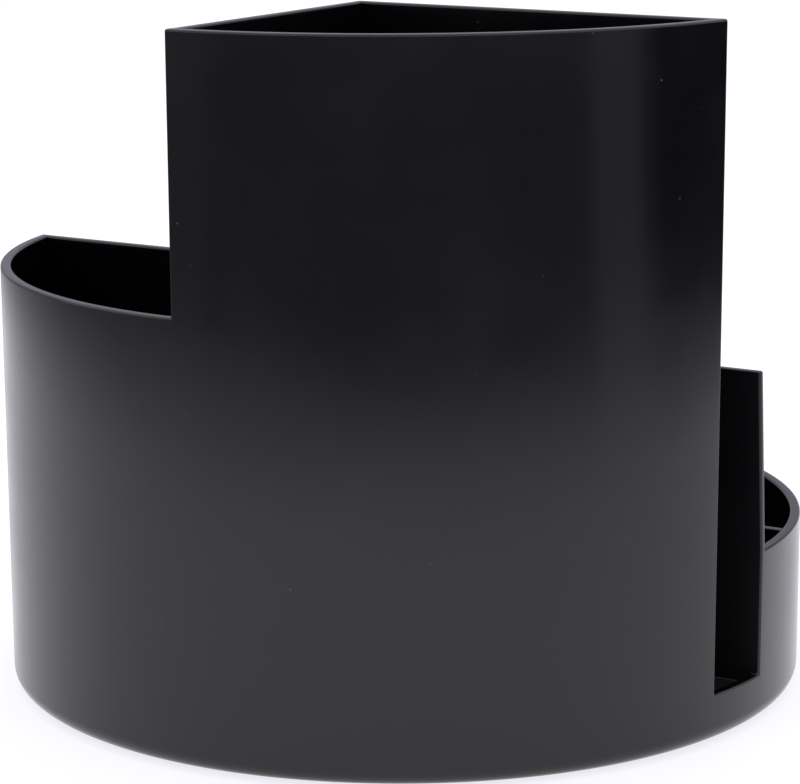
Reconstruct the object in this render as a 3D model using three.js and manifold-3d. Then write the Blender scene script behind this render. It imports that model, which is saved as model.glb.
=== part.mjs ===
// Round desk organizer: a drum with a tall pen cup, a lower side cup, a slot for
// cards and letters across the middle, and a low divided tray behind the slot.
//
// The real thing is one plastic moulding on four non-slip pads. Here the moulding
// is divided along its own walls, so every wall and floor is a solid with a name,
// with a hairline joint between neighbours.
//
// Millimetres, +Z up. The origin is on the drum's axis, on the surface it stands on.
// +X runs along the slot, and +Y points from the pen cup towards the tray.

import * as THREE from 'three';
import { mergeVertices } from 'three/addons/utils/BufferGeometryUtils.js';
import Module from 'manifold-3d';

// ---- Driving dimensions -------------------------------------------------------

// The drum. Heights are above the moulding's own underside.
const baseRadius = 70;
const wallDraftDeg = 0.25;
const bottomFillet = 3;
const outerWall = 1.85;
const penCupHeight = 120;
const sideCupHeight = 74.5;
const trayHeight = 30;
const floorThickness = 2;

// The slot, whose back side lies on the drum's diameter.
const slotWidth = 14;
const slotWall = 1.4;
const slotWallHeight = 60.5;
const slotWallSetback = 1.1;
const slotWallCorner = 0.8;
const slotFloorHeight = 6.7;
const slotFloorThickness = 1.6;
const slotLipRise = 1.7;

// Walls inside the cups and the tray. The wall between the cups has its left face on
// the drum's other diameter.
const innerWall = 1.6;
const sideWallLeftX = 0;
const trayDivider = 1.6;
const trayFrontWidth = 13;

// The non-slip pads, each held in a shallow round recess.
const padRadius = 6;
const padInset = 9;
const padProud = 0.5;
const padRecess = 1;
const padClearance = 0.3;

// The hairline joint between neighbouring solids, and how round a turned face is.
const joint = 0.3;
const drumSides = 144;
const padSides = 48;
const filletSteps = 6;
const cornerSteps = 6;

// ---- Sizes that follow ----------------------------------------------------------

const moulding = padProud;                       // height of the moulding's underside
const draft = Math.tan(THREE.MathUtils.degToRad(wallDraftDeg));
const outerRadius = (z) => baseRadius + draft * z;
const innerRadius = (z) => outerRadius(z) - outerWall;
const spineBackY = -slotWidth;
const spineFrontY = spineBackY - innerWall;
const sideWallRightX = sideWallLeftX + innerWall;
const slotWallBackY = slotWall;
const slotLipHeight = slotFloorHeight + slotLipRise;
const trayDividerY = slotWallBackY + trayFrontWidth;
const flatRadius = baseRadius - bottomFillet;    // edge of the flat underside
const padRing = flatRadius - padInset - padRadius;
const standsOn = floorThickness + joint;         // foot of a wall that stands on a floor
const ceiling = 2 * Math.max(penCupHeight, sideCupHeight, slotWallHeight);
const reach = 3 * baseRadius;                    // further out than anything goes

// ---- Solids -----------------------------------------------------------------------

const wasm = await Module();
wasm.setup();

// A closed three.js geometry as a solid that can be cut and joined.
function solidFrom(geometry) {
  const bare = geometry.clone();
  bare.deleteAttribute('normal');
  bare.deleteAttribute('uv');
  const merged = mergeVertices(bare, 1e-5);
  return new wasm.Manifold(new wasm.Mesh({
    numProp: 3,
    vertProperties: new Float32Array(merged.attributes.position.array),
    triVerts: new Uint32Array(merged.index.array),
  }));
}

// A solid as a named mesh of the scene.
function meshFrom(name, solid, material) {
  const { vertProperties, triVerts } = solid.getMesh();
  const geometry = new THREE.BufferGeometry();
  geometry.setAttribute('position', new THREE.BufferAttribute(vertProperties, 3));
  geometry.setIndex(new THREE.BufferAttribute(triVerts, 1));
  geometry.computeVertexNormals();
  const mesh = new THREE.Mesh(geometry, material);
  mesh.name = name;
  mesh.position.z = moulding;
  return mesh;
}

// A profile of [radius, height] points, from axis to axis, turned about +Z.
function turned(profile, sides) {
  const points = profile.map(([r, z]) => new THREE.Vector2(r, z));
  return solidFrom(new THREE.LatheGeometry(points, sides).rotateX(Math.PI / 2));
}

// A box between two corners.
function block(x0, x1, y0, y1, z0, z1) {
  const box = new THREE.BoxGeometry(x1 - x0, y1 - y0, z1 - z0);
  return solidFrom(box.translate((x0 + x1) / 2, (y0 + y1) / 2, (z0 + z1) / 2));
}

// The drum as a full solid up to a height, with its rounded bottom edge.
function drum(height) {
  const profile = [[0, 0]];
  for (let i = 0; i <= filletSteps; i++) {
    const turn = (i / filletSteps) * Math.PI / 2;
    const z = bottomFillet * (1 - Math.cos(turn));
    profile.push([outerRadius(z) - bottomFillet * (1 - Math.sin(turn)), z]);
  }
  profile.push([outerRadius(height), height], [0, height]);
  return turned(profile, drumSides);
}

// The room inside the outer wall and its foot, made smaller all over by an allowance.
// The foot is the rounded bottom edge, which reaches in as far as the flat underside.
function hollow(height, allowance) {
  const ledge = floorThickness + allowance;
  const profile = [
    [0, -1],
    [flatRadius - allowance, -1],
    [flatRadius - allowance, ledge],
    [innerRadius(ledge) - allowance, ledge],
    [innerRadius(height + 1) - allowance, height + 1],
    [0, height + 1],
  ];
  return turned(profile, drumSides);
}

// A stretch of the outer wall: the part of the ring inside a box in plan.
function outerWallPart(height, x0, x1, y0, y1) {
  const ring = drum(height).subtract(hollow(height, 0));
  return ring.intersect(block(x0, x1, y0, y1, -1, height + 1));
}

// A straight wall inside the drum, which ends short of the outer wall.
function innerWallPart(height, foot, x0, x1, y0, y1) {
  return hollow(height, joint).intersect(block(x0, x1, y0, y1, foot, height));
}

// A floor plate inside the outer wall, between two lines across the drum.
function floorPart(y0, y1) {
  return hollow(floorThickness, joint).intersect(block(-reach, reach, y0, y1, 0, floorThickness));
}

// The slot wall's outline: as wide as the drum up to the tray's rim, and above it the
// ends lean back a little, to round corners at the top.
function slotWallOutline() {
  const topX = outerRadius(slotWallHeight) - slotWallSetback;
  const right = [
    new THREE.Vector2(outerRadius(0), 0),
    new THREE.Vector2(outerRadius(trayHeight), trayHeight),
  ];
  for (let i = 0; i <= cornerSteps; i++) {
    const turn = (i / cornerSteps) * Math.PI / 2;
    right.push(new THREE.Vector2(
      topX - slotWallCorner * (1 - Math.cos(turn)),
      slotWallHeight - slotWallCorner * (1 - Math.sin(turn)),
    ));
  }
  const left = right.map((p) => new THREE.Vector2(-p.x, p.y)).reverse();
  return new THREE.Shape([...right, ...left]);
}

// The wall between the slot and the tray. Its ends stop short of the tray's outer wall
// and stand over that wall's rim.
function slotWallSolid() {
  const plate = new THREE.ExtrudeGeometry(slotWallOutline(), {
    depth: slotWall,
    bevelEnabled: false,
  });
  plate.rotateX(Math.PI / 2).translate(0, slotWallBackY, 0);
  const shoulder = trayHeight + joint;
  const above = block(-reach, reach, -reach, reach, shoulder, ceiling);
  const room = hollow(shoulder, joint).add(above);
  return solidFrom(plate).intersect(drum(ceiling)).intersect(room);
}

// The pads' centres in plan, one in each quarter.
const padCentres = [45, 135, 225, 315].map((degrees) => {
  const angle = THREE.MathUtils.degToRad(degrees);
  return [padRing * Math.cos(angle), padRing * Math.sin(angle)];
});

// A round disc about a pad's centre.
function disc([x, y], radius, z0, z1) {
  const cylinder = new THREE.CylinderGeometry(radius, radius, z1 - z0, padSides);
  return solidFrom(cylinder.rotateX(Math.PI / 2).translate(x, y, (z0 + z1) / 2));
}

// A floor with the pads' recesses cut into its underside.
function recessed(floor) {
  return padCentres.reduce(
    (solid, centre) => solid.subtract(disc(centre, padRadius + padClearance, -1, padRecess)),
    floor,
  );
}

// ---- Materials ------------------------------------------------------------------------

const plastic = () => new THREE.MeshStandardMaterial({
  color: 0x141416,
  roughness: 0.38,
  metalness: 0,
});
const rubber = () => new THREE.MeshStandardMaterial({
  color: 0x1c1c1c,
  roughness: 0.9,
  metalness: 0,
});

// ---- The organizer ------------------------------------------------------------------------

const organizer = new THREE.Group();

function addPlastic(name, solid) {
  organizer.add(meshFrom(name, solid, plastic()));
}

// Outer wall, once round the drum: pen cup, slot, tray, slot, side cup.
addPlastic('pen_cup_outer_wall',
  outerWallPart(penCupHeight, sideWallLeftX, reach, -reach, spineBackY));
addPlastic('side_cup_outer_wall',
  outerWallPart(sideCupHeight, -reach, sideWallLeftX - joint, -reach, spineBackY));
addPlastic('tray_outer_wall',
  outerWallPart(trayHeight, -reach, reach, 0, reach));
addPlastic('slot_lip_right',
  outerWallPart(slotLipHeight, 0, reach, spineBackY + joint, -joint));
addPlastic('slot_lip_left',
  outerWallPart(slotLipHeight, -reach, 0, spineBackY + joint, -joint));

// Walls between the compartments.
addPlastic('pen_cup_back_wall',
  innerWallPart(penCupHeight, 0, sideWallLeftX, reach, spineFrontY, spineBackY));
addPlastic('side_cup_back_wall',
  innerWallPart(sideCupHeight, 0, -reach, sideWallLeftX - joint, spineFrontY, spineBackY));
addPlastic('pen_cup_side_wall',
  innerWallPart(penCupHeight, standsOn, sideWallLeftX, sideWallRightX,
    -reach, spineFrontY - joint));
addPlastic('slot_wall', slotWallSolid());
addPlastic('tray_divider',
  innerWallPart(trayHeight, standsOn, -reach, reach,
    trayDividerY, trayDividerY + trayDivider));

// Floors.
addPlastic('cup_floor', recessed(floorPart(-reach, spineFrontY - joint)));
addPlastic('tray_floor', recessed(floorPart(slotWallBackY + joint, reach)));
addPlastic('slot_floor',
  innerWallPart(slotFloorHeight, slotFloorHeight - slotFloorThickness, -reach, reach,
    spineBackY + joint, -joint));

// Non-slip pads.
padCentres.forEach((centre, i) => {
  const pad = disc(centre, padRadius, -padProud, padRecess - padClearance);
  organizer.add(meshFrom(`foot_pad_${i + 1}`, pad, rubber()));
});

export default organizer;
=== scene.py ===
"""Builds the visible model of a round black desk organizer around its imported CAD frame.

Every wall of the moulding is a standing wall: a front and a back sheet of points, carried
along a path in plan, that rise to a height which may change in steps along the path.
"""

import math

import bpy
import numpy as np
from bpy.props import FloatProperty, FloatVectorProperty, IntProperty, PointerProperty
from bpy.types import Operator, Panel, PropertyGroup
from mathutils import Matrix, Vector


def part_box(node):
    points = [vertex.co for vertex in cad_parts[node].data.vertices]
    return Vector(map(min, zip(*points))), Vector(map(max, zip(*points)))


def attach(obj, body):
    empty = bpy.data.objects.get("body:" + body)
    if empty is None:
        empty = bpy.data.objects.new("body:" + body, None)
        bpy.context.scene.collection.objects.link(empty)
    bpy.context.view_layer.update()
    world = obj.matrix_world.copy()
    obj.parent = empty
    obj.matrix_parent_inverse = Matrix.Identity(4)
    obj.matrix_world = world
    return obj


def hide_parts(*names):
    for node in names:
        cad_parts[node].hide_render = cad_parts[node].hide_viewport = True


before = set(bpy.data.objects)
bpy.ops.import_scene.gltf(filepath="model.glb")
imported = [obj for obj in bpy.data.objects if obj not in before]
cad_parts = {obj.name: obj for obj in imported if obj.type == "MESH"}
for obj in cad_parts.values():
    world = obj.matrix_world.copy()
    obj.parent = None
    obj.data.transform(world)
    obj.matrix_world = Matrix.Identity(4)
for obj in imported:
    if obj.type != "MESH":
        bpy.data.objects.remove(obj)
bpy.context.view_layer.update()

bl_info = {
    "name": "Round Desk Organizer",
    "version": (1, 0, 0),
    "blender": (4, 5, 0),
    "location": "3D View > Sidebar > Organizer",
    "description": "Builds a round moulded desk organizer with cups, a card slot and a tray",
    "category": "Add Mesh",
}

MM = 0.001


# ---- Sizes read from the frame ---------------------------------------------------------


def low(node, axis):
    """Lowest coordinate of a CAD node along an axis, 0 to 2."""
    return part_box(node)[0][axis]


def high(node, axis):
    """Highest coordinate of a CAD node along an axis, 0 to 2."""
    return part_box(node)[1][axis]


BASE_Z = low("cup_floor", 2)
FLOOR_Z = high("cup_floor", 2)
SLOT_FLOOR_UNDER_Z = low("slot_floor", 2)
SLOT_FLOOR_Z = high("slot_floor", 2)
LIP_Z = high("slot_lip_right", 2)
TRAY_Z = high("tray_outer_wall", 2)
SLOT_WALL_Z = high("slot_wall", 2)
SIDE_CUP_Z = high("side_cup_outer_wall", 2)
PEN_CUP_Z = high("pen_cup_outer_wall", 2)

TRAY_RADIUS = high("tray_outer_wall", 0)
SIDE_WALL_LEFT_X = low("pen_cup_side_wall", 0)
SIDE_WALL_RIGHT_X = high("pen_cup_side_wall", 0)
SPINE_FRONT_Y = low("pen_cup_back_wall", 1)
SPINE_BACK_Y = high("pen_cup_back_wall", 1)
SLOT_WALL_FRONT_Y = low("slot_wall", 1)
SLOT_WALL_BACK_Y = high("slot_wall", 1)
DIVIDER_FRONT_Y = low("tray_divider", 1)
DIVIDER_BACK_Y = high("tray_divider", 1)

# Where two pieces would share a face, one of them is sunk this far below the other.
SUNK = 0.01 * MM

# A wall's end is sunk this much further into the outer wall's bottom fillet.
FILLET_SUNK = 0.1 * MM

# Number of flats across a rounded edge, and round a non-slip pad.
BEVEL_SEGMENTS = 3
PAD_STEPS = 64

# Patterns on the plastic, as repeats per metre. The flow lines are drawn out along Z by
# taking only this share of the height.
FLOW_SCALE = 70.0
FLOW_STRETCH = 0.06
WIPE_SCALE = 26.0
DUST_SCALE = 420.0
DUSTY_PLACE_SCALE = 160.0

# The studio's floor is a disc of this radius, with a hole too small to see at its middle.
STUDIO_RADIUS = 6.0
STUDIO_HOLE = 0.1 * MM

# The flags are dark sheets that only reflections see, and they cast no shade: painted
# shade in the plastic's reflections, for the floor and the room growing darker away from
# the organizer. All but one lie just over the floor, and the last one stands behind the
# organizer. Each has a shade, and spans a stretch of turn in degrees from the camera's
# direction.
FLAG_Z = 0.2 * MM
LYING = ((0.2, FLAG_Z), (4.0, FLAG_Z))
STANDING = ((2.0, 0.0), (2.0, 1.2))
PAINTED_SHADE_FLAGS = (
    ("left_painted_shade", LYING, (-165.0, -52.0), 0.21),
    ("front_painted_shade", LYING, (-52.0, 50.0), 0.152),
    # The streak flag is lighter than its neighbours, so it paints a paler streak into the
    # reflection.
    ("streak_painted_shade", LYING, (50.0, 65.0), 0.3),
    ("shoulder_painted_shade", LYING, (65.0, 70.0), 0.1),
    ("right_painted_shade", LYING, (70.0, 125.0), 0.02),
    # The back flag paints a darker room behind the organizer into the rims' reflections.
    ("back_painted_shade", STANDING, (110.0, 250.0), 0.4),
)

# The camera's sensor, in millimetres.
SENSOR_WIDTH = 36.0

# The soft box over the organizer: its place, what it looks at, and its width.
LAMP_PLACE = (-0.3, 0.5, 1.6)
LAMP_TARGET = (0.0, 0.0, 0.0)
LAMP_WIDTH = 1.6


# ---- Settings a user would change ------------------------------------------------------


class OrganizerSizes(PropertyGroup):
    """Small sizes of the moulding that the frame's boxes don't give."""

    draft: FloatProperty(
        name="Wall draft",
        description="Lean of the outer wall, which is wider at the top",
        default=math.radians(0.25),
        subtype="ANGLE",
    )
    outer_wall: FloatProperty(
        name="Outer wall",
        description="Thickness of the drum's outer wall",
        default=1.85 * MM,
        unit="LENGTH",
    )
    bottom_fillet: FloatProperty(
        name="Bottom fillet",
        description="Radius of the drum's rounded bottom edge",
        default=3.0 * MM,
        unit="LENGTH",
    )
    inner_fillet: FloatProperty(
        name="Inner fillet",
        description="Radius where a wall meets a floor",
        default=1.0 * MM,
        unit="LENGTH",
    )
    edge: FloatProperty(
        name="Edge rounding",
        description="Radius of the rims and of the walls' free edges",
        default=0.4 * MM,
        unit="LENGTH",
    )
    slot_wall_setback: FloatProperty(
        name="Slot wall setback",
        description="How far the slot wall's ends lean back at the top",
        default=1.1 * MM,
        unit="LENGTH",
    )
    slot_fillet: FloatProperty(
        name="Slot fillet",
        description="Radius where a wall meets the slot's raised floor",
        default=0.3 * MM,
        unit="LENGTH",
    )
    joint_cover: FloatProperty(
        name="Joint cover",
        description="How far a wall reaches over the joint to the floor or wall beside it",
        default=1.0 * MM,
        unit="LENGTH",
    )
    turn_steps: IntProperty(
        name="Turn steps",
        description="Number of flats that a full turn of the drum is made of",
        default=216,
    )
    fillet_steps: IntProperty(
        name="Fillet steps",
        description="Number of flats in a quarter turn of a fillet",
        default=8,
    )


class OrganizerFinish(PropertyGroup):
    """Colours and gloss of the plastic and the rubber. The slot's and the floors' plastic is
    lighter than the polished outside, as painted light from above.
    """

    plastic_color: FloatVectorProperty(
        name="Plastic colour",
        description="Base colour of the moulded plastic",
        default=(0.001, 0.0012, 0.0018),
        subtype="COLOR",
    )
    plastic_roughness: FloatProperty(
        name="Plastic roughness",
        description="Roughness of the plastic's polished outside",
        default=0.14,
        subtype="FACTOR",
    )
    # The slot's wall is rougher than the polished outside, and its colour is lighter: painted
    # light, for the light from above that falls into the slot.
    lit_slot_color: FloatVectorProperty(
        name="Slot colour",
        description="Base colour of the slot's wall",
        default=(0.003, 0.0032, 0.0038),
        subtype="COLOR",
    )
    slot_roughness: FloatProperty(
        name="Slot roughness",
        description="Roughness of the slot's wall",
        default=0.3,
        subtype="FACTOR",
    )
    # The floors' plastic is rougher than the polished outside, and its colour is lighter:
    # painted light, for the light from above that falls on the floors.
    lit_floor_plastic_color: FloatVectorProperty(
        name="Lit floor plastic colour",
        description="Base colour of the plastic on the floors and the underside",
        default=(0.012, 0.0122, 0.014),
        subtype="COLOR",
    )
    floor_roughness: FloatProperty(
        name="Floor roughness",
        description="Roughness of the plastic on the floors and the underside",
        default=0.3,
        subtype="FACTOR",
    )
    rubber_color: FloatVectorProperty(
        name="Rubber colour",
        description="Base colour of the non-slip pads",
        default=(0.02, 0.02, 0.021),
        subtype="COLOR",
    )
    rubber_roughness: FloatProperty(
        name="Rubber roughness",
        description="Roughness of the non-slip pads",
        default=0.6,
        subtype="FACTOR",
    )


class OrganizerStudio(PropertyGroup):
    """Camera, floor and lights."""

    azimuth: FloatProperty(
        name="Camera azimuth",
        description="Turn of the camera round the drum's axis, from the pen cup's side",
        default=math.radians(31.53),
        subtype="ANGLE",
    )
    distance: FloatProperty(
        name="Camera distance",
        description="Level distance from the drum's axis to the camera",
        default=0.5542,
        unit="LENGTH",
    )
    height: FloatProperty(
        name="Camera height",
        description="Height of the camera above the floor",
        default=0.1682,
        unit="LENGTH",
    )
    aim_height: FloatProperty(
        name="Aim height",
        description="Height of the point on the drum's axis that the camera looks at",
        default=0.0502,
        unit="LENGTH",
    )
    aim_side: FloatProperty(
        name="Aim side",
        description="How far to the right of the drum's axis the camera looks",
        default=-0.00073,
        unit="LENGTH",
    )
    roll: FloatProperty(
        name="Camera roll",
        description="Turn of the camera about its own line of sight",
        default=-0.0051,
        subtype="ANGLE",
    )
    lens: FloatProperty(
        name="Lens",
        description="Focal length in millimetres on a sensor 36 mm wide",
        default=143.8,
    )
    floor_color: FloatVectorProperty(
        name="Floor colour",
        description="Colour of the studio floor",
        default=(0.3, 0.3, 0.31),
        subtype="COLOR",
    )
    floor_glow: FloatProperty(
        name="Floor glow",
        description="Brightness of the light that shines up through the floor",
        default=0.78,
    )
    room_color: FloatVectorProperty(
        name="Room colour",
        description="Colour of the white room round the floor",
        default=(1.0, 1.0, 1.06),
        subtype="COLOR",
    )
    lamp_power: FloatProperty(
        name="Lamp power",
        description="Power of the soft box over the organizer, in watts",
        default=4.0,
    )
    # The reaches and the shift shape the flags' painted shade: the floor's reflection stays
    # white up to the white reach, and is painted fully dark from the dark reach on.
    white_reach: FloatProperty(
        name="White reach",
        description="How far from the middle of the floor its reflection stays white",
        default=0.3,
        unit="LENGTH",
    )
    dark_reach: FloatProperty(
        name="Dark reach",
        description="How far from the middle of the floor its reflection is fully dark",
        default=0.45,
        unit="LENGTH",
    )
    dark_shift: FloatProperty(
        name="Dark shift",
        description="How far that middle lies behind the drum's axis",
        default=0.055,
        unit="LENGTH",
    )


# ---- Surfaces --------------------------------------------------------------------------


def mesh_object(name, points, faces):
    """Makes a smooth mesh object from an array of points and a list of faces."""
    mesh = bpy.data.meshes.new(name)
    mesh.from_pydata(points.tolist(), [], faces)
    mesh.polygons.foreach_set("use_smooth", np.ones(len(mesh.polygons), dtype=bool))
    mesh.update()
    piece = bpy.data.objects.new(name, mesh)
    bpy.context.scene.collection.objects.link(piece)
    return piece


def mark_edges(mesh, pairs):
    """Gives full bevel weight to the mesh's edges that join the given pairs of points."""
    ends = np.empty(2 * len(mesh.edges), dtype=np.int32)
    mesh.edges.foreach_get("vertices", ends)
    ends = np.sort(ends.reshape(-1, 2), axis=1).astype(np.int64)
    pairs = np.sort(pairs, axis=1).astype(np.int64)
    count = len(mesh.vertices)
    marked = np.isin(ends @ [count, 1], pairs @ [count, 1])
    weight = mesh.attributes.new("bevel_weight_edge", "FLOAT", "EDGE")
    weight.data.foreach_set("value", marked.astype(np.float32))


def standing_wall(name, front, back, heights, closed=False, upright=0):
    """Makes a wall from a front and a back sheet of points, indexed by column and rung.

    Between columns c and c + 1 the wall is filled from the lowest rung up to the rung at
    heights[c]. The skin is every filled band of both sheets, a cap where the filling
    stops, a foot below, and a face across the wall where the filling changes from one
    column to the next. The edges of the caps and of those cross faces are marked to be
    rounded, apart from the cross faces' upright edges below the rung upright.
    """
    columns, rungs = front.shape[:2]
    f = np.arange(columns * rungs).reshape(columns, rungs)
    b = f + columns * rungs
    spans = columns if closed else columns - 1
    here = np.arange(spans)
    there = (here + 1) % columns
    filled = front[0, 1:, 2] <= np.reshape(heights, (-1, 1)) + SUNK / 2

    span, k = np.nonzero(filled)
    left, right = here[span], there[span]
    skins = [
        [f[left, k], f[right, k], f[right, k + 1], f[left, k + 1]],
        [b[right, k], b[left, k], b[left, k + 1], b[right, k + 1]],
        [f[there, 0], f[here, 0], b[here, 0], b[there, 0]],
    ]
    top = filled.sum(axis=1)
    skins.append([f[here, top], f[there, top], b[there, top], b[here, top]])
    edges = [[f[here, top], f[there, top]], [b[here, top], b[there, top]]]

    # Which bands are filled before and after each column.
    nothing = np.zeros((1, rungs - 1), dtype=bool)
    before = np.roll(filled, 1, axis=0) if closed else np.concatenate([nothing, filled])
    after = filled if closed else np.concatenate([filled, nothing])
    c, k = np.nonzero(before & ~after)
    skins.append([f[c, k], b[c, k], b[c, k + 1], f[c, k + 1]])
    c, k = np.nonzero(after & ~before)
    skins.append([b[c, k], f[c, k], f[c, k + 1], b[c, k + 1]])
    c, k = np.nonzero((before ^ after) & (np.arange(rungs - 1) >= upright))
    edges += [[f[c, k], f[c, k + 1]], [b[c, k], b[c, k + 1]]]
    rise = np.stack([before.sum(axis=1), after.sum(axis=1)])
    c = np.nonzero(rise[0] != rise[1])[0]
    for k in (rise.max(axis=0)[c], rise.min(axis=0)[c]):
        edges.append([f[c, k], b[c, k]])

    faces = np.concatenate([np.stack(skin, axis=1) for skin in skins])
    pairs = np.concatenate([np.stack(edge, axis=1) for edge in edges])
    used, places = np.unique(faces, return_inverse=True)
    points = np.concatenate([front.reshape(-1, 3), back.reshape(-1, 3)])[used]
    piece = mesh_object(name, points, places.reshape(-1, 4).tolist())
    mark_edges(piece.data, np.searchsorted(used, pairs))
    return piece


def round_edges(piece, width):
    """Rounds a piece's marked edges, and lets its large faces lead the shading."""
    bevel = piece.modifiers.new("Rounded edges", "BEVEL")
    bevel.limit_method = "WEIGHT"
    bevel.width = width
    bevel.segments = BEVEL_SEGMENTS
    bevel.use_clamp_overlap = False
    piece.modifiers.new("Even shading", "WEIGHTED_NORMAL")


def quarter(steps):
    """Turn angles from 0 to a quarter turn, in equal steps."""
    return np.linspace(0, math.pi / 2, steps + 1)


def turned(name, radius, z, steps):
    """Makes a closed body from a profile of radii and heights turned about +Z.

    The point at profile place k and turn angle a is (radius cos a, radius sin a, z), and
    a flat face closes the first ring and the last.
    """
    angle = np.linspace(0, 2 * math.pi, steps, endpoint=False)
    rings = len(radius)
    x = np.outer(radius, np.cos(angle))
    y = np.outer(radius, np.sin(angle))
    points = np.stack([x, y, np.broadcast_to(z[:, None], x.shape)], axis=-1).reshape(-1, 3)
    index = np.arange(rings * steps).reshape(rings, steps)
    after = np.roll(index, -1, axis=1)
    sides = np.stack([index[:-1], after[:-1], after[1:], index[1:]], axis=-1)
    faces = sides.reshape(-1, 4).tolist()
    faces += [index[0, ::-1].tolist(), index[-1].tolist()]
    return mesh_object(name, points, faces)


# ---- The drum's shape ------------------------------------------------------------------


def cone_radius(sizes, z):
    """The outer wall's radius at a height, without the bottom fillet: a cone."""
    return TRAY_RADIUS + math.tan(sizes.draft) * (z - TRAY_Z)


def drum_radius(sizes, z):
    """The drum's outer radius at a height.

    It is the cone's radius r, and within a fillet radius f of the underside it is less by
    f (1 - sqrt(1 - d^2)), where d falls from 1 at the underside to 0 at a height of f.
    """
    fillet = sizes.bottom_fillet
    drop = np.clip(1 - (z - BASE_Z - SUNK) / fillet, 0, 1)
    return cone_radius(sizes, z) - fillet * (1 - np.sqrt(1 - drop**2))


def wall_reach(sizes, z):
    """The radius at which a wall ends inside the outer wall.

    It is SUNK short of the outside, and FILLET_SUNK shorter still in the bottom fillet,
    where the outer wall's flat facets lie further inside the true curve.
    """
    in_fillet = z < BASE_Z + sizes.bottom_fillet
    return drum_radius(sizes, z) - SUNK - np.where(in_fillet, FILLET_SUNK, 0)


def chord(radius, across):
    """Half the length of a circle's chord, at a distance from its centre."""
    return np.sqrt(radius**2 - across**2)


# ---- The round outer wall --------------------------------------------------------------


def ring_rungs(sizes):
    """Radii and heights of the outer wall's rungs, outside and inside.

    Outside, the flat underside leads through a quarter circle into the leaning wall.
    Inside, a ledge level with the floor leads through a smaller one into the same lean.
    """
    turn = quarter(sizes.fillet_steps)
    levels = np.array([LIP_Z, TRAY_Z, SIDE_CUP_Z, PEN_CUP_Z])
    foot = drum_radius(sizes, BASE_Z) - sizes.joint_cover

    z = BASE_Z + SUNK + sizes.bottom_fillet * (1 - np.cos(turn))
    outer_z = np.concatenate([z[:1], z, levels])
    outer = drum_radius(sizes, outer_z)
    outer[0] = foot

    fillet = sizes.inner_fillet
    z = FLOOR_Z - SUNK + fillet * (1 - np.cos(turn))
    inner_z = np.concatenate([z[:1], z, levels])
    inner = cone_radius(sizes, inner_z) - sizes.outer_wall
    inner[1 : len(z) + 1] -= fillet * (1 - np.sin(turn))
    inner[0] = foot
    return outer, outer_z, inner, inner_z


def crossings(radius):
    """Turn angles at which a circle crosses the planes where the outer wall changes height.

    A circle of radius r crosses the plane y at the angle asin(y / r).
    """
    cups = np.arcsin((SIDE_WALL_LEFT_X + SUNK) / radius) - math.pi / 2
    spine = np.arcsin((SPINE_BACK_Y - SUNK) / radius)
    slot_wall = np.arcsin((SLOT_WALL_FRONT_Y + SUNK) / radius)
    far = [math.pi - slot_wall, math.pi - spine, 2 * math.pi + cups]
    return np.array([cups, spine, slot_wall, *far])


def ring_columns(radius, counts):
    """Turn angles of the outer wall's columns at each radius, as [column, rung].

    Each stretch runs in equal steps between the two crossings that bound it.
    """
    bounds = crossings(radius)
    stretches = []
    for begin, end, count in zip(bounds, bounds[1:], counts):
        stretches.append(begin + (end - begin) * (np.arange(count)[:, None] / count))
    return np.concatenate(stretches)


def build_outer_wall(sizes):
    """The drum's outer wall, once round: pen cup, slot lip, tray, slot lip, side cup."""
    turns = np.diff(crossings(TRAY_RADIUS)) / (2 * math.pi)
    counts = np.maximum(4, np.round(turns * sizes.turn_steps)).astype(int)
    outer, outer_z, inner, inner_z = ring_rungs(sizes)
    sheets = []
    for radius, z in ((outer, outer_z), (inner, inner_z)):
        angles = ring_columns(radius, counts)
        x, y = radius * np.cos(angles), radius * np.sin(angles)
        sheets.append(np.stack([x, y, np.broadcast_to(z, x.shape)], axis=-1))
    tops = [PEN_CUP_Z, LIP_Z, TRAY_Z, LIP_Z, SIDE_CUP_Z]
    return standing_wall("outer_wall", *sheets, np.repeat(tops, counts), closed=True)


# ---- The straight walls ----------------------------------------------------------------


def wall_side(sizes, face, outward, floor, foot, fillet, under, levels):
    """Places across a wall and heights of the rungs on one of its sides.

    From the foot the side rises level with the wall's face, or further out by the length
    under. At the floor it starts a fillet's radius f out, and then follows the quarter
    circle (f (1 - sin t), f (1 - cos t)) onto the face.
    """
    turn = quarter(sizes.fillet_steps)
    below = face + outward * under
    curve = face + outward * fillet * (1 - np.sin(turn))
    across = np.concatenate([[below, below], curve, np.full(len(levels), face)])
    rise = floor + fillet * (1 - np.cos(turn))
    z = np.concatenate([[foot, floor - sizes.edge], rise, levels])
    return across, z


def first_level(sizes):
    """The rung at the top of a wall side's fillet, where the plain face begins."""
    return sizes.fillet_steps + 2


def along_x(columns, across, z):
    """A sheet of a wall that runs along X, from its columns' X at each rung."""
    x = np.stack(np.broadcast_arrays(*columns, z)[:-1])
    return np.stack([x, np.broadcast_to(across, x.shape), np.broadcast_to(z, x.shape)], -1)


def along_y(columns, across, z):
    """A sheet of a wall that runs along Y, from its columns' Y at each rung."""
    return along_x(columns, across, z)[:, :, [1, 0, 2]]


def build_spine(sizes):
    """The back wall of both cups, as tall as each cup, with the slot on its far side."""
    levels = np.array([SIDE_CUP_Z, PEN_CUP_Z]) - SUNK
    foot = BASE_Z + SUNK
    sheets = []
    for face, outward, floor, fillet, under in (
        (SPINE_FRONT_Y, -1, FLOOR_Z, sizes.inner_fillet, sizes.joint_cover),
        (SPINE_BACK_Y, 1, SLOT_FLOOR_Z, sizes.slot_fillet, 0),
    ):
        y, z = wall_side(sizes, face, outward, floor, foot, fillet, under, levels)
        end = chord(wall_reach(sizes, z), y)
        step = SIDE_WALL_LEFT_X + SUNK
        sheets.append(along_x([-end, step, end], y, z))
    return standing_wall("spine_wall", *sheets, levels, upright=first_level(sizes))


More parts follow.
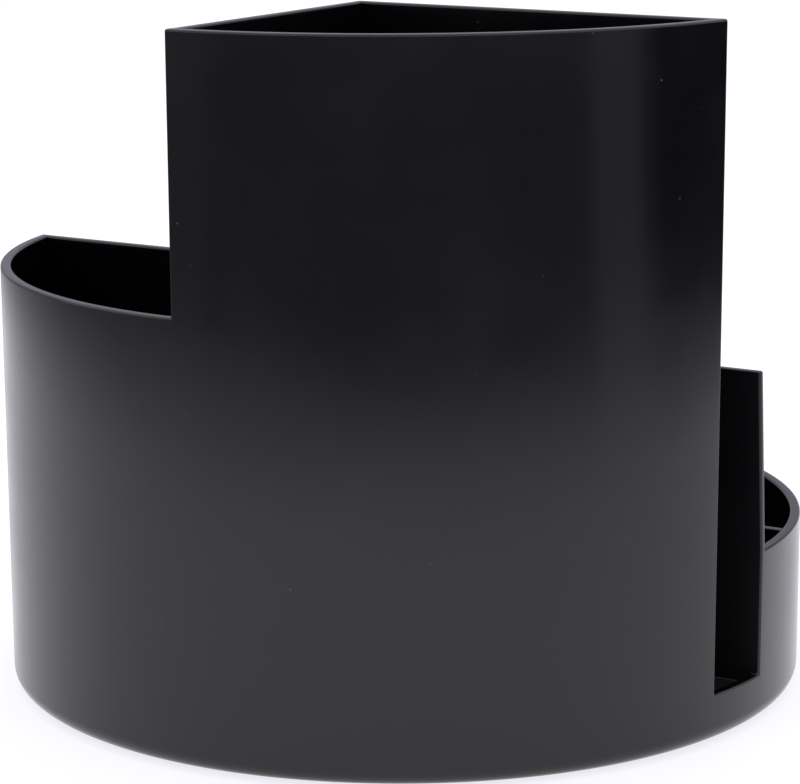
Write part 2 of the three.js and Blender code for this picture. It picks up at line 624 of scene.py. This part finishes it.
def build_pen_cup_side_wall(sizes):
    """The wall between the pen cup and the side cup, from the outer wall to the spine."""
    levels = np.array([PEN_CUP_Z - 2 * SUNK])
    foot = FLOOR_Z - sizes.joint_cover
    fillet = sizes.inner_fillet
    sheets = []
    for face, outward in ((SIDE_WALL_RIGHT_X, 1), (SIDE_WALL_LEFT_X, -1)):
        x, z = wall_side(sizes, face, outward, FLOOR_Z, foot, fillet, fillet, levels)
        start = -chord(wall_reach(sizes, z), x)
        end = (SPINE_FRONT_Y + SPINE_BACK_Y) / 2
        sheets.append(along_y([start, end], x, z))
    upright = first_level(sizes)
    return standing_wall("pen_cup_side_wall_moulded", *sheets, levels, upright=upright)


def build_slot_wall(sizes):
    """The wall between the slot and the tray.

    Its ends follow the drum up to the tray's rim, and above it they lean back in a
    straight line.
    """
    levels = np.array([TRAY_Z, SLOT_WALL_Z])
    foot = BASE_Z + SUNK
    sheets = []
    for face, outward, floor, fillet, under in (
        (SLOT_WALL_FRONT_Y, -1, SLOT_FLOOR_Z, sizes.slot_fillet, 0),
        (SLOT_WALL_BACK_Y, 1, FLOOR_Z, sizes.inner_fillet, sizes.joint_cover),
    ):
        y, z = wall_side(sizes, face, outward, floor, foot, fillet, under, levels)
        lean = np.clip((z - TRAY_Z) / (SLOT_WALL_Z - TRAY_Z), 0, 1)
        end = chord(wall_reach(sizes, z), y) - sizes.slot_wall_setback * lean
        sheets.append(along_x([-end, end], y, z))
    upright = first_level(sizes)
    return standing_wall("slot_wall_moulded", *sheets, [SLOT_WALL_Z], upright=upright)


def build_tray_divider(sizes):
    """The low wall along the tray, level with the tray's rim."""
    levels = np.array([TRAY_Z - SUNK])
    foot = FLOOR_Z - sizes.joint_cover
    fillet = sizes.inner_fillet
    sheets = []
    for face, outward in ((DIVIDER_FRONT_Y, -1), (DIVIDER_BACK_Y, 1)):
        y, z = wall_side(sizes, face, outward, FLOOR_Z, foot, fillet, fillet, levels)
        end = chord(cone_radius(sizes, z) - sizes.outer_wall + sizes.joint_cover, y)
        sheets.append(along_x([-end, end], y, z))
    upright = first_level(sizes)
    return standing_wall("tray_divider_moulded", *sheets, levels, upright=upright)


def build_slot_floor(sizes):
    """The slot's raised floor, which reaches into the walls and the lips round it."""
    z = np.array([SLOT_FLOOR_UNDER_Z, SLOT_FLOOR_Z])
    reach = sizes.joint_cover / 2
    sheets = []
    for y in (SPINE_BACK_Y - reach, SLOT_WALL_FRONT_Y + reach):
        end = chord(cone_radius(sizes, z) - sizes.outer_wall + sizes.joint_cover, y)
        sheets.append(along_x([-end, end], y, z))
    return standing_wall("slot_floor_moulded", *sheets, z[1:])


def build_foot_pad(sizes, number):
    """A non-slip pad: a disc with a rounded rim below and a shallow dish inside it."""
    lowest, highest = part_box(f"foot_pad_{number}")
    radius = (highest.x - lowest.x) / 2
    rounding = sizes.edge
    dish = rounding / 2
    turn = quarter(sizes.fillet_steps)
    rim_r = radius - rounding * (1 - np.sin(turn))
    rim_z = lowest.z + rounding * (1 - np.cos(turn))
    inside_r = np.array([0.1, 0.55, 0.75]) * radius
    inside_z = lowest.z + dish * np.array([1, 1, 0])
    profile_r = np.concatenate([inside_r, rim_r, [radius]])
    profile_z = np.concatenate([inside_z, rim_z, [highest.z]])
    pad = turned(f"pad_{number}", profile_r, profile_z, PAD_STEPS)
    pad.data.transform(Matrix.Translation(((lowest + highest) / 2).to_2d().to_3d()))
    return pad


# ---- Finishes --------------------------------------------------------------------------


def link(tree, source, target):
    """Joins an output socket to an input socket."""
    tree.links.new(source, target)


def add_noise(tree, vector, scale, detail, roughness=0.5):
    """A noise texture on a vector, as a node."""
    node = tree.nodes.new("ShaderNodeTexNoise")
    node.inputs["Scale"].default_value = scale
    node.inputs["Detail"].default_value = detail
    node.inputs["Roughness"].default_value = roughness
    link(tree, vector, node.inputs["Vector"])
    return node


def add_math(tree, operation, first, second):
    """A math node whose two inputs are sockets or numbers."""
    node = tree.nodes.new("ShaderNodeMath")
    node.operation = operation
    for socket, value in zip(node.inputs, (first, second)):
        if isinstance(value, bpy.types.NodeSocket):
            link(tree, value, socket)
        else:
            socket.default_value = value
    return node.outputs[0]


def add_mix(tree, factor, first, second):
    """A mix of two colours by a factor's socket.

    A mix node has sockets A, B and Result for each kind of value. Only those of its own
    kind are enabled.
    """
    node = tree.nodes.new("ShaderNodeMix")
    node.data_type = "RGBA"
    colors = {socket.name: socket for socket in node.inputs if socket.enabled}
    colors["A"].default_value = (*first, 1.0)
    colors["B"].default_value = (*second, 1.0)
    link(tree, factor, colors["Factor"])
    return next(socket for socket in node.outputs if socket.enabled)


def add_range(tree, value, low_in, high_in, low_out, high_out):
    """A clamped change of a value from one range to another."""
    node = tree.nodes.new("ShaderNodeMapRange")
    for name, number in (
        ("From Min", low_in),
        ("From Max", high_in),
        ("To Min", low_out),
        ("To Max", high_out),
    ):
        node.inputs[name].default_value = number
    link(tree, value, node.inputs["Value"])
    return node.outputs["Result"]


def moulded_skin_group():
    """The skin of a moulded part: grain, flow lines, wipe marks and a few dust specks.

    Grain is fine noise. Flow lines are noise drawn out along Z, as molten plastic leaves
    in a tall wall. Wipe marks are slow noise, and dust specks are the peaks of a fine
    cell pattern, thinned by another noise.
    """
    group = bpy.data.node_groups.new("moulded_skin", "ShaderNodeTree")
    face = group.interface
    face.new_socket("Position", in_out="INPUT", socket_type="NodeSocketVector")
    for name, value in (("Grain Scale", 2600.0), ("Grain Amount", 1.0), ("Flow Amount", 1.0)):
        socket = face.new_socket(name, in_out="INPUT", socket_type="NodeSocketFloat")
        socket.default_value = value
    for name in ("Height", "Wipe", "Dust"):
        face.new_socket(name, in_out="OUTPUT", socket_type="NodeSocketFloat")
    start = group.nodes.new("NodeGroupInput")
    end = group.nodes.new("NodeGroupOutput")
    position = start.outputs["Position"]

    grain = add_noise(group, position, 1.0, 2.0)
    link(group, start.outputs["Grain Scale"], grain.inputs["Scale"])
    grain = add_math(group, "MULTIPLY", grain.outputs["Fac"], start.outputs["Grain Amount"])

    drawn = group.nodes.new("ShaderNodeMapping")
    drawn.inputs["Scale"].default_value = (1.0, 1.0, FLOW_STRETCH)
    link(group, position, drawn.inputs["Vector"])
    flow = add_noise(group, drawn.outputs["Vector"], FLOW_SCALE, 2.0)
    flow = add_math(group, "MULTIPLY", flow.outputs["Fac"], start.outputs["Flow Amount"])
    link(group, add_math(group, "ADD", grain, flow), end.inputs["Height"])

    wipe = add_noise(group, position, WIPE_SCALE, 6.0, 0.62)
    link(group, add_range(group, wipe.outputs["Fac"], 0.38, 0.72, 0.0, 1.0), end.inputs["Wipe"])

    cells = group.nodes.new("ShaderNodeTexVoronoi")
    cells.inputs["Scale"].default_value = DUST_SCALE
    link(group, position, cells.inputs["Vector"])
    speck = add_range(group, cells.outputs["Distance"], 0.04, 0.09, 1.0, 0.0)
    where = add_noise(group, position, DUSTY_PLACE_SCALE, 1.0)
    where = add_range(group, where.outputs["Fac"], 0.62, 0.68, 0.0, 1.0)
    link(group, add_math(group, "MULTIPLY", speck, where), end.inputs["Dust"])
    return group


def new_material(name, color, roughness):
    """A material with a Principled shader of one colour and roughness."""
    material = bpy.data.materials.new(name)
    material.use_nodes = True
    shader = material.node_tree.nodes["Principled BSDF"]
    shader.inputs["Base Color"].default_value = (*color, 1.0)
    shader.inputs["Roughness"].default_value = roughness
    shader.inputs["IOR"].default_value = 1.5
    return material, shader


def skinned_material(name, color, roughness, wiped, dusty, grain, bump):
    """A moulded material, duller where it is wiped and lighter where dust lies.

    The grain is a pair: its scale, and its share of the bump's height. The bump is a pair
    too: its strength and its height.
    """
    material, shader = new_material(name, color, roughness)
    tree = material.node_tree
    place = tree.nodes.new("ShaderNodeTexCoord")
    skin = tree.nodes.new("ShaderNodeGroup")
    skin.node_tree = bpy.data.node_groups["moulded_skin"]
    skin.inputs["Grain Scale"].default_value = grain[0]
    skin.inputs["Grain Amount"].default_value = grain[1]
    link(tree, place.outputs["Object"], skin.inputs["Position"])

    dull = add_range(tree, skin.outputs["Wipe"], 0.0, 1.0, roughness, wiped)
    rough_dust = add_range(tree, skin.outputs["Dust"], 0.0, 1.0, 0.0, 0.3)
    link(tree, add_math(tree, "ADD", dull, rough_dust), shader.inputs["Roughness"])

    pale_dust = add_mix(tree, skin.outputs["Dust"], color, dusty)
    link(tree, pale_dust, shader.inputs["Base Color"])

    relief = tree.nodes.new("ShaderNodeBump")
    relief.inputs["Strength"].default_value = bump[0]
    relief.inputs["Distance"].default_value = bump[1]
    link(tree, skin.outputs["Height"], relief.inputs["Height"])
    link(tree, relief.outputs["Normal"], shader.inputs["Normal"])
    return material


def floor_material(color, room_color, glow):
    """A pale, matt floor that is lit a little from below, as a light table is."""
    material, shader = new_material("studio_floor", color, 0.9)
    shader.inputs["Specular IOR Level"].default_value = 0.0
    shader.inputs["Emission Color"].default_value = (*room_color, 1.0)
    shader.inputs["Emission Strength"].default_value = glow
    tree = material.node_tree
    place = tree.nodes.new("ShaderNodeTexCoord")
    cloud = add_noise(tree, place.outputs["Object"], 3.0, 3.0)
    darker = [0.97 * channel for channel in color]
    clouded = add_mix(tree, cloud.outputs["Fac"], darker, color)
    link(tree, clouded, shader.inputs["Base Color"])
    return material


def painted_shade_flag_material(name, shade, middle, start, full):
    """A dark flag of painted shade, seen only in reflections, that fades in with the distance
    from a point on the floor, as the floor's light falls off away from the organizer.

    It is clear up to the distance start, and has its shade from the distance full on.
    """
    material, shader = new_material(name, (shade, shade, 1.1 * shade), 0.9)
    shader.inputs["Specular IOR Level"].default_value = 0.0
    tree = material.node_tree
    place = tree.nodes.new("ShaderNodeTexCoord")
    centred = tree.nodes.new("ShaderNodeVectorMath")
    centred.operation = "DISTANCE"
    centred.inputs[1].default_value = middle
    link(tree, place.outputs["Object"], centred.inputs[0])
    fade = add_range(tree, centred.outputs["Value"], start, full, 0.0, 1.0)
    link(tree, fade, shader.inputs["Alpha"])
    return material


# ---- Stage -----------------------------------------------------------------------------


def ring_sector(name, first, last, start, end, steps=48):
    """A sheet between two level circles about +Z, each a radius and a height.

    Its two parameters are the turn angle, from start to end, and the way from the first
    circle to the last. It faces up when the last circle is the wider one, and inwards
    when it is the higher one.
    """
    angle = np.linspace(start, end, steps + 1)[:, None]
    radius, z = np.array([first, last]).T
    x, y = radius * np.cos(angle), radius * np.sin(angle)
    points = np.stack([x, y, np.broadcast_to(z, x.shape)], axis=-1).reshape(-1, 3)
    index = np.arange(2 * (steps + 1)).reshape(-1, 2)
    faces = np.stack([index[:-1, 0], index[:-1, 1], index[1:, 1], index[1:, 0]], axis=-1)
    return mesh_object(name, points, faces.tolist())


def add_camera(studio):
    """The camera, placed by its azimuth, distance and height, and turned to its aim."""
    back = Vector((math.sin(studio.azimuth), -math.cos(studio.azimuth), 0))
    right = Vector((math.cos(studio.azimuth), math.sin(studio.azimuth), 0))
    place = studio.distance * back + Vector((0, 0, studio.height))
    aim = studio.aim_side * right + Vector((0, 0, studio.aim_height))
    sight = (aim - place).normalized()
    turn = sight.to_track_quat("-Z", "Y").to_matrix().to_4x4()
    data = bpy.data.cameras.new("camera")
    data.lens = studio.lens
    data.sensor_width = SENSOR_WIDTH
    data.clip_end = 8 * STUDIO_RADIUS
    camera = bpy.data.objects.new("camera", data)
    camera.matrix_world = Matrix.Translation(place) @ turn @ Matrix.Rotation(studio.roll, 4, "Z")
    bpy.context.scene.collection.objects.link(camera)
    bpy.context.scene.camera = camera


def add_floor(studio):
    """The pale studio floor."""
    circles = (STUDIO_HOLE, 0.0), (STUDIO_RADIUS, 0.0)
    floor = ring_sector("studio_floor", *circles, 0, 2 * math.pi)
    floor.data.materials.append(
        floor_material(studio.floor_color, studio.room_color, studio.floor_glow)
    )


def add_painted_shade_flags(studio):
    """The dark flags, which only reflections see: painted shade in the plastic's reflections."""
    ahead = studio.azimuth - math.pi / 2
    middle = (
        -studio.dark_shift * math.cos(ahead),
        -studio.dark_shift * math.sin(ahead),
        0.0,
    )
    for name, circles, span, shade in PAINTED_SHADE_FLAGS:
        turn = [ahead + math.radians(angle) for angle in span]
        painted_shade_sheet = ring_sector(name, *circles, *turn)
        painted_shade_sheet.data.materials.append(
            painted_shade_flag_material(name, shade, middle, studio.white_reach, studio.dark_reach)
        )
        # Only glossy rays see the flags: they paint shade into reflections, and neither light
        # nor shade anything else.
        painted_shade_sheet.visible_camera = False
        painted_shade_sheet.visible_diffuse = False
        painted_shade_sheet.visible_shadow = False


def add_soft_box(power):
    """A square area light over the organizer."""
    data = bpy.data.lights.new("soft_box", "AREA")
    data.shape = "SQUARE"
    data.size = LAMP_WIDTH
    data.energy = power
    lamp = bpy.data.objects.new("soft_box", data)
    sight = Vector(LAMP_TARGET) - Vector(LAMP_PLACE)
    turn = sight.to_track_quat("-Z", "Y").to_matrix().to_4x4()
    lamp.matrix_world = Matrix.Translation(LAMP_PLACE) @ turn
    bpy.context.scene.collection.objects.link(lamp)


def add_room(color):
    """The white room round the floor."""
    world = bpy.data.worlds.new("white_room")
    world.use_nodes = True
    sky = world.node_tree.nodes["Background"]
    sky.inputs["Color"].default_value = (*color, 1.0)
    bpy.context.scene.world = world


# ---- Operators -------------------------------------------------------------------------


def finish_moulding(piece, sizes, nodes, plastic="polished_plastic"):
    """Rounds a moulded piece's edges, and puts it in its CAD nodes' place."""
    round_edges(piece, sizes.edge)
    piece.data.materials.append(bpy.data.materials[plastic])
    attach(piece, "root")
    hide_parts(*nodes)


class ORGANIZER_OT_finishes(Operator):
    """Make the plastic and the rubber, and put them on the floors"""

    bl_idname = "organizer.finishes"
    bl_label = "Finishes"

    def execute(self, context):
        finish = context.scene.organizer_finish
        moulded_skin_group()
        skinned_material(
            "polished_plastic", finish.plastic_color, finish.plastic_roughness,
            wiped=finish.plastic_roughness + 0.09, dusty=(0.05, 0.05, 0.05),
            grain=(2600.0, 0.16), bump=(0.3, 0.02 * MM),
        )
        # The floors' plastic is lighter than the polished plastic, as painted light from above.
        dull = skinned_material(
            "lit_floor_plastic", finish.lit_floor_plastic_color, finish.floor_roughness,
            wiped=finish.floor_roughness + 0.08, dusty=(0.05, 0.05, 0.05),
            grain=(1800.0, 0.6), bump=(0.3, 0.05 * MM),
        )
        # The slot's plastic is lighter than the polished plastic, as painted light from above.
        skinned_material(
            "lit_slot_plastic", finish.lit_slot_color, finish.slot_roughness,
            wiped=finish.slot_roughness + 0.08, dusty=(0.06, 0.06, 0.06),
            grain=(1800.0, 0.5), bump=(0.3, 0.04 * MM),
        )
        skinned_material(
            "pad_rubber", finish.rubber_color, finish.rubber_roughness,
            wiped=finish.rubber_roughness + 0.15, dusty=(0.06, 0.06, 0.06),
            grain=(1300.0, 1.0), bump=(0.5, 0.1 * MM),
        )
        for name in ("cup_floor", "tray_floor"):
            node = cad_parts[name]
            for place in node.material_slots:
                place.material = dull
        return {"FINISHED"}


class ORGANIZER_OT_outer_wall(Operator):
    """Build the drum's outer wall"""

    bl_idname = "organizer.outer_wall"
    bl_label = "Outer wall"

    def execute(self, context):
        sizes = context.scene.organizer_sizes
        nodes = ["pen_cup_outer_wall", "side_cup_outer_wall", "tray_outer_wall"]
        nodes += ["slot_lip_right", "slot_lip_left"]
        finish_moulding(build_outer_wall(sizes), sizes, nodes)
        return {"FINISHED"}


class ORGANIZER_OT_cup_walls(Operator):
    """Build the cups' back wall and the wall between the cups"""

    bl_idname = "organizer.cup_walls"
    bl_label = "Cup walls"

    def execute(self, context):
        sizes = context.scene.organizer_sizes
        finish_moulding(build_spine(sizes), sizes, ["pen_cup_back_wall", "side_cup_back_wall"])
        finish_moulding(build_pen_cup_side_wall(sizes), sizes, ["pen_cup_side_wall"])
        return {"FINISHED"}


class ORGANIZER_OT_slot(Operator):
    """Build the slot's wall and its raised floor"""

    bl_idname = "organizer.slot"
    bl_label = "Slot"

    def execute(self, context):
        sizes = context.scene.organizer_sizes
        finish_moulding(build_slot_wall(sizes), sizes, ["slot_wall"], "lit_slot_plastic")
        finish_moulding(build_slot_floor(sizes), sizes, ["slot_floor"], "lit_floor_plastic")
        return {"FINISHED"}


class ORGANIZER_OT_tray_divider(Operator):
    """Build the tray's divider"""

    bl_idname = "organizer.tray_divider"
    bl_label = "Tray divider"

    def execute(self, context):
        sizes = context.scene.organizer_sizes
        finish_moulding(build_tray_divider(sizes), sizes, ["tray_divider"])
        return {"FINISHED"}


class ORGANIZER_OT_foot_pads(Operator):
    """Build the non-slip pads"""

    bl_idname = "organizer.foot_pads"
    bl_label = "Foot pads"

    def execute(self, context):
        sizes = context.scene.organizer_sizes
        for number in range(1, 5):
            pad = build_foot_pad(sizes, number)
            pad.data.materials.append(bpy.data.materials["pad_rubber"])
            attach(pad, "root")
            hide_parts(f"foot_pad_{number}")
        return {"FINISHED"}


class ORGANIZER_OT_stage(Operator):
    """Set up the camera, the floor and the lights"""

    bl_idname = "organizer.stage"
    bl_label = "Stage"

    def execute(self, context):
        studio = context.scene.organizer_studio
        add_camera(studio)
        add_floor(studio)
        add_painted_shade_flags(studio)
        add_soft_box(studio.lamp_power)
        add_room(studio.room_color)
        context.scene.view_settings.view_transform = "Standard"
        return {"FINISHED"}


class ORGANIZER_PT_panel(Panel):
    """Lists the organizer's settings and operators in the sidebar"""

    bl_idname = "ORGANIZER_PT_panel"
    bl_label = "Organizer"
    bl_space_type = "VIEW_3D"
    bl_region_type = "UI"
    bl_category = "Organizer"

    def draw(self, context):
        scene = context.scene
        for group in (scene.organizer_sizes, scene.organizer_finish, scene.organizer_studio):
            box = self.layout.box()
            for name in group.__annotations__:
                box.prop(group, name)
        for operator in OPERATORS:
            self.layout.operator(operator.bl_idname)


OPERATORS = (
    ORGANIZER_OT_finishes,
    ORGANIZER_OT_outer_wall,
    ORGANIZER_OT_cup_walls,
    ORGANIZER_OT_slot,
    ORGANIZER_OT_tray_divider,
    ORGANIZER_OT_foot_pads,
    ORGANIZER_OT_stage,
)
GROUPS = {
    "organizer_sizes": OrganizerSizes,
    "organizer_finish": OrganizerFinish,
    "organizer_studio": OrganizerStudio,
}


def register():
    """Registers the classes, and hangs the settings on the scene."""
    for cls in (*GROUPS.values(), *OPERATORS, ORGANIZER_PT_panel):
        bpy.utils.register_class(cls)
    for name, group in GROUPS.items():
        setattr(bpy.types.Scene, name, PointerProperty(type=group))


def unregister():
    """Takes the settings and the classes away again."""
    for name in GROUPS:
        delattr(bpy.types.Scene, name)
    for cls in reversed((*GROUPS.values(), *OPERATORS, ORGANIZER_PT_panel)):
        bpy.utils.unregister_class(cls)


def main():
    """Builds the organizer and its stage."""
    register()
    bpy.ops.organizer.finishes()
    bpy.ops.organizer.outer_wall()
    bpy.ops.organizer.cup_walls()
    bpy.ops.organizer.slot()
    bpy.ops.organizer.tray_divider()
    bpy.ops.organizer.foot_pads()
    bpy.ops.organizer.stage()


if __name__ == "__main__":
    main()
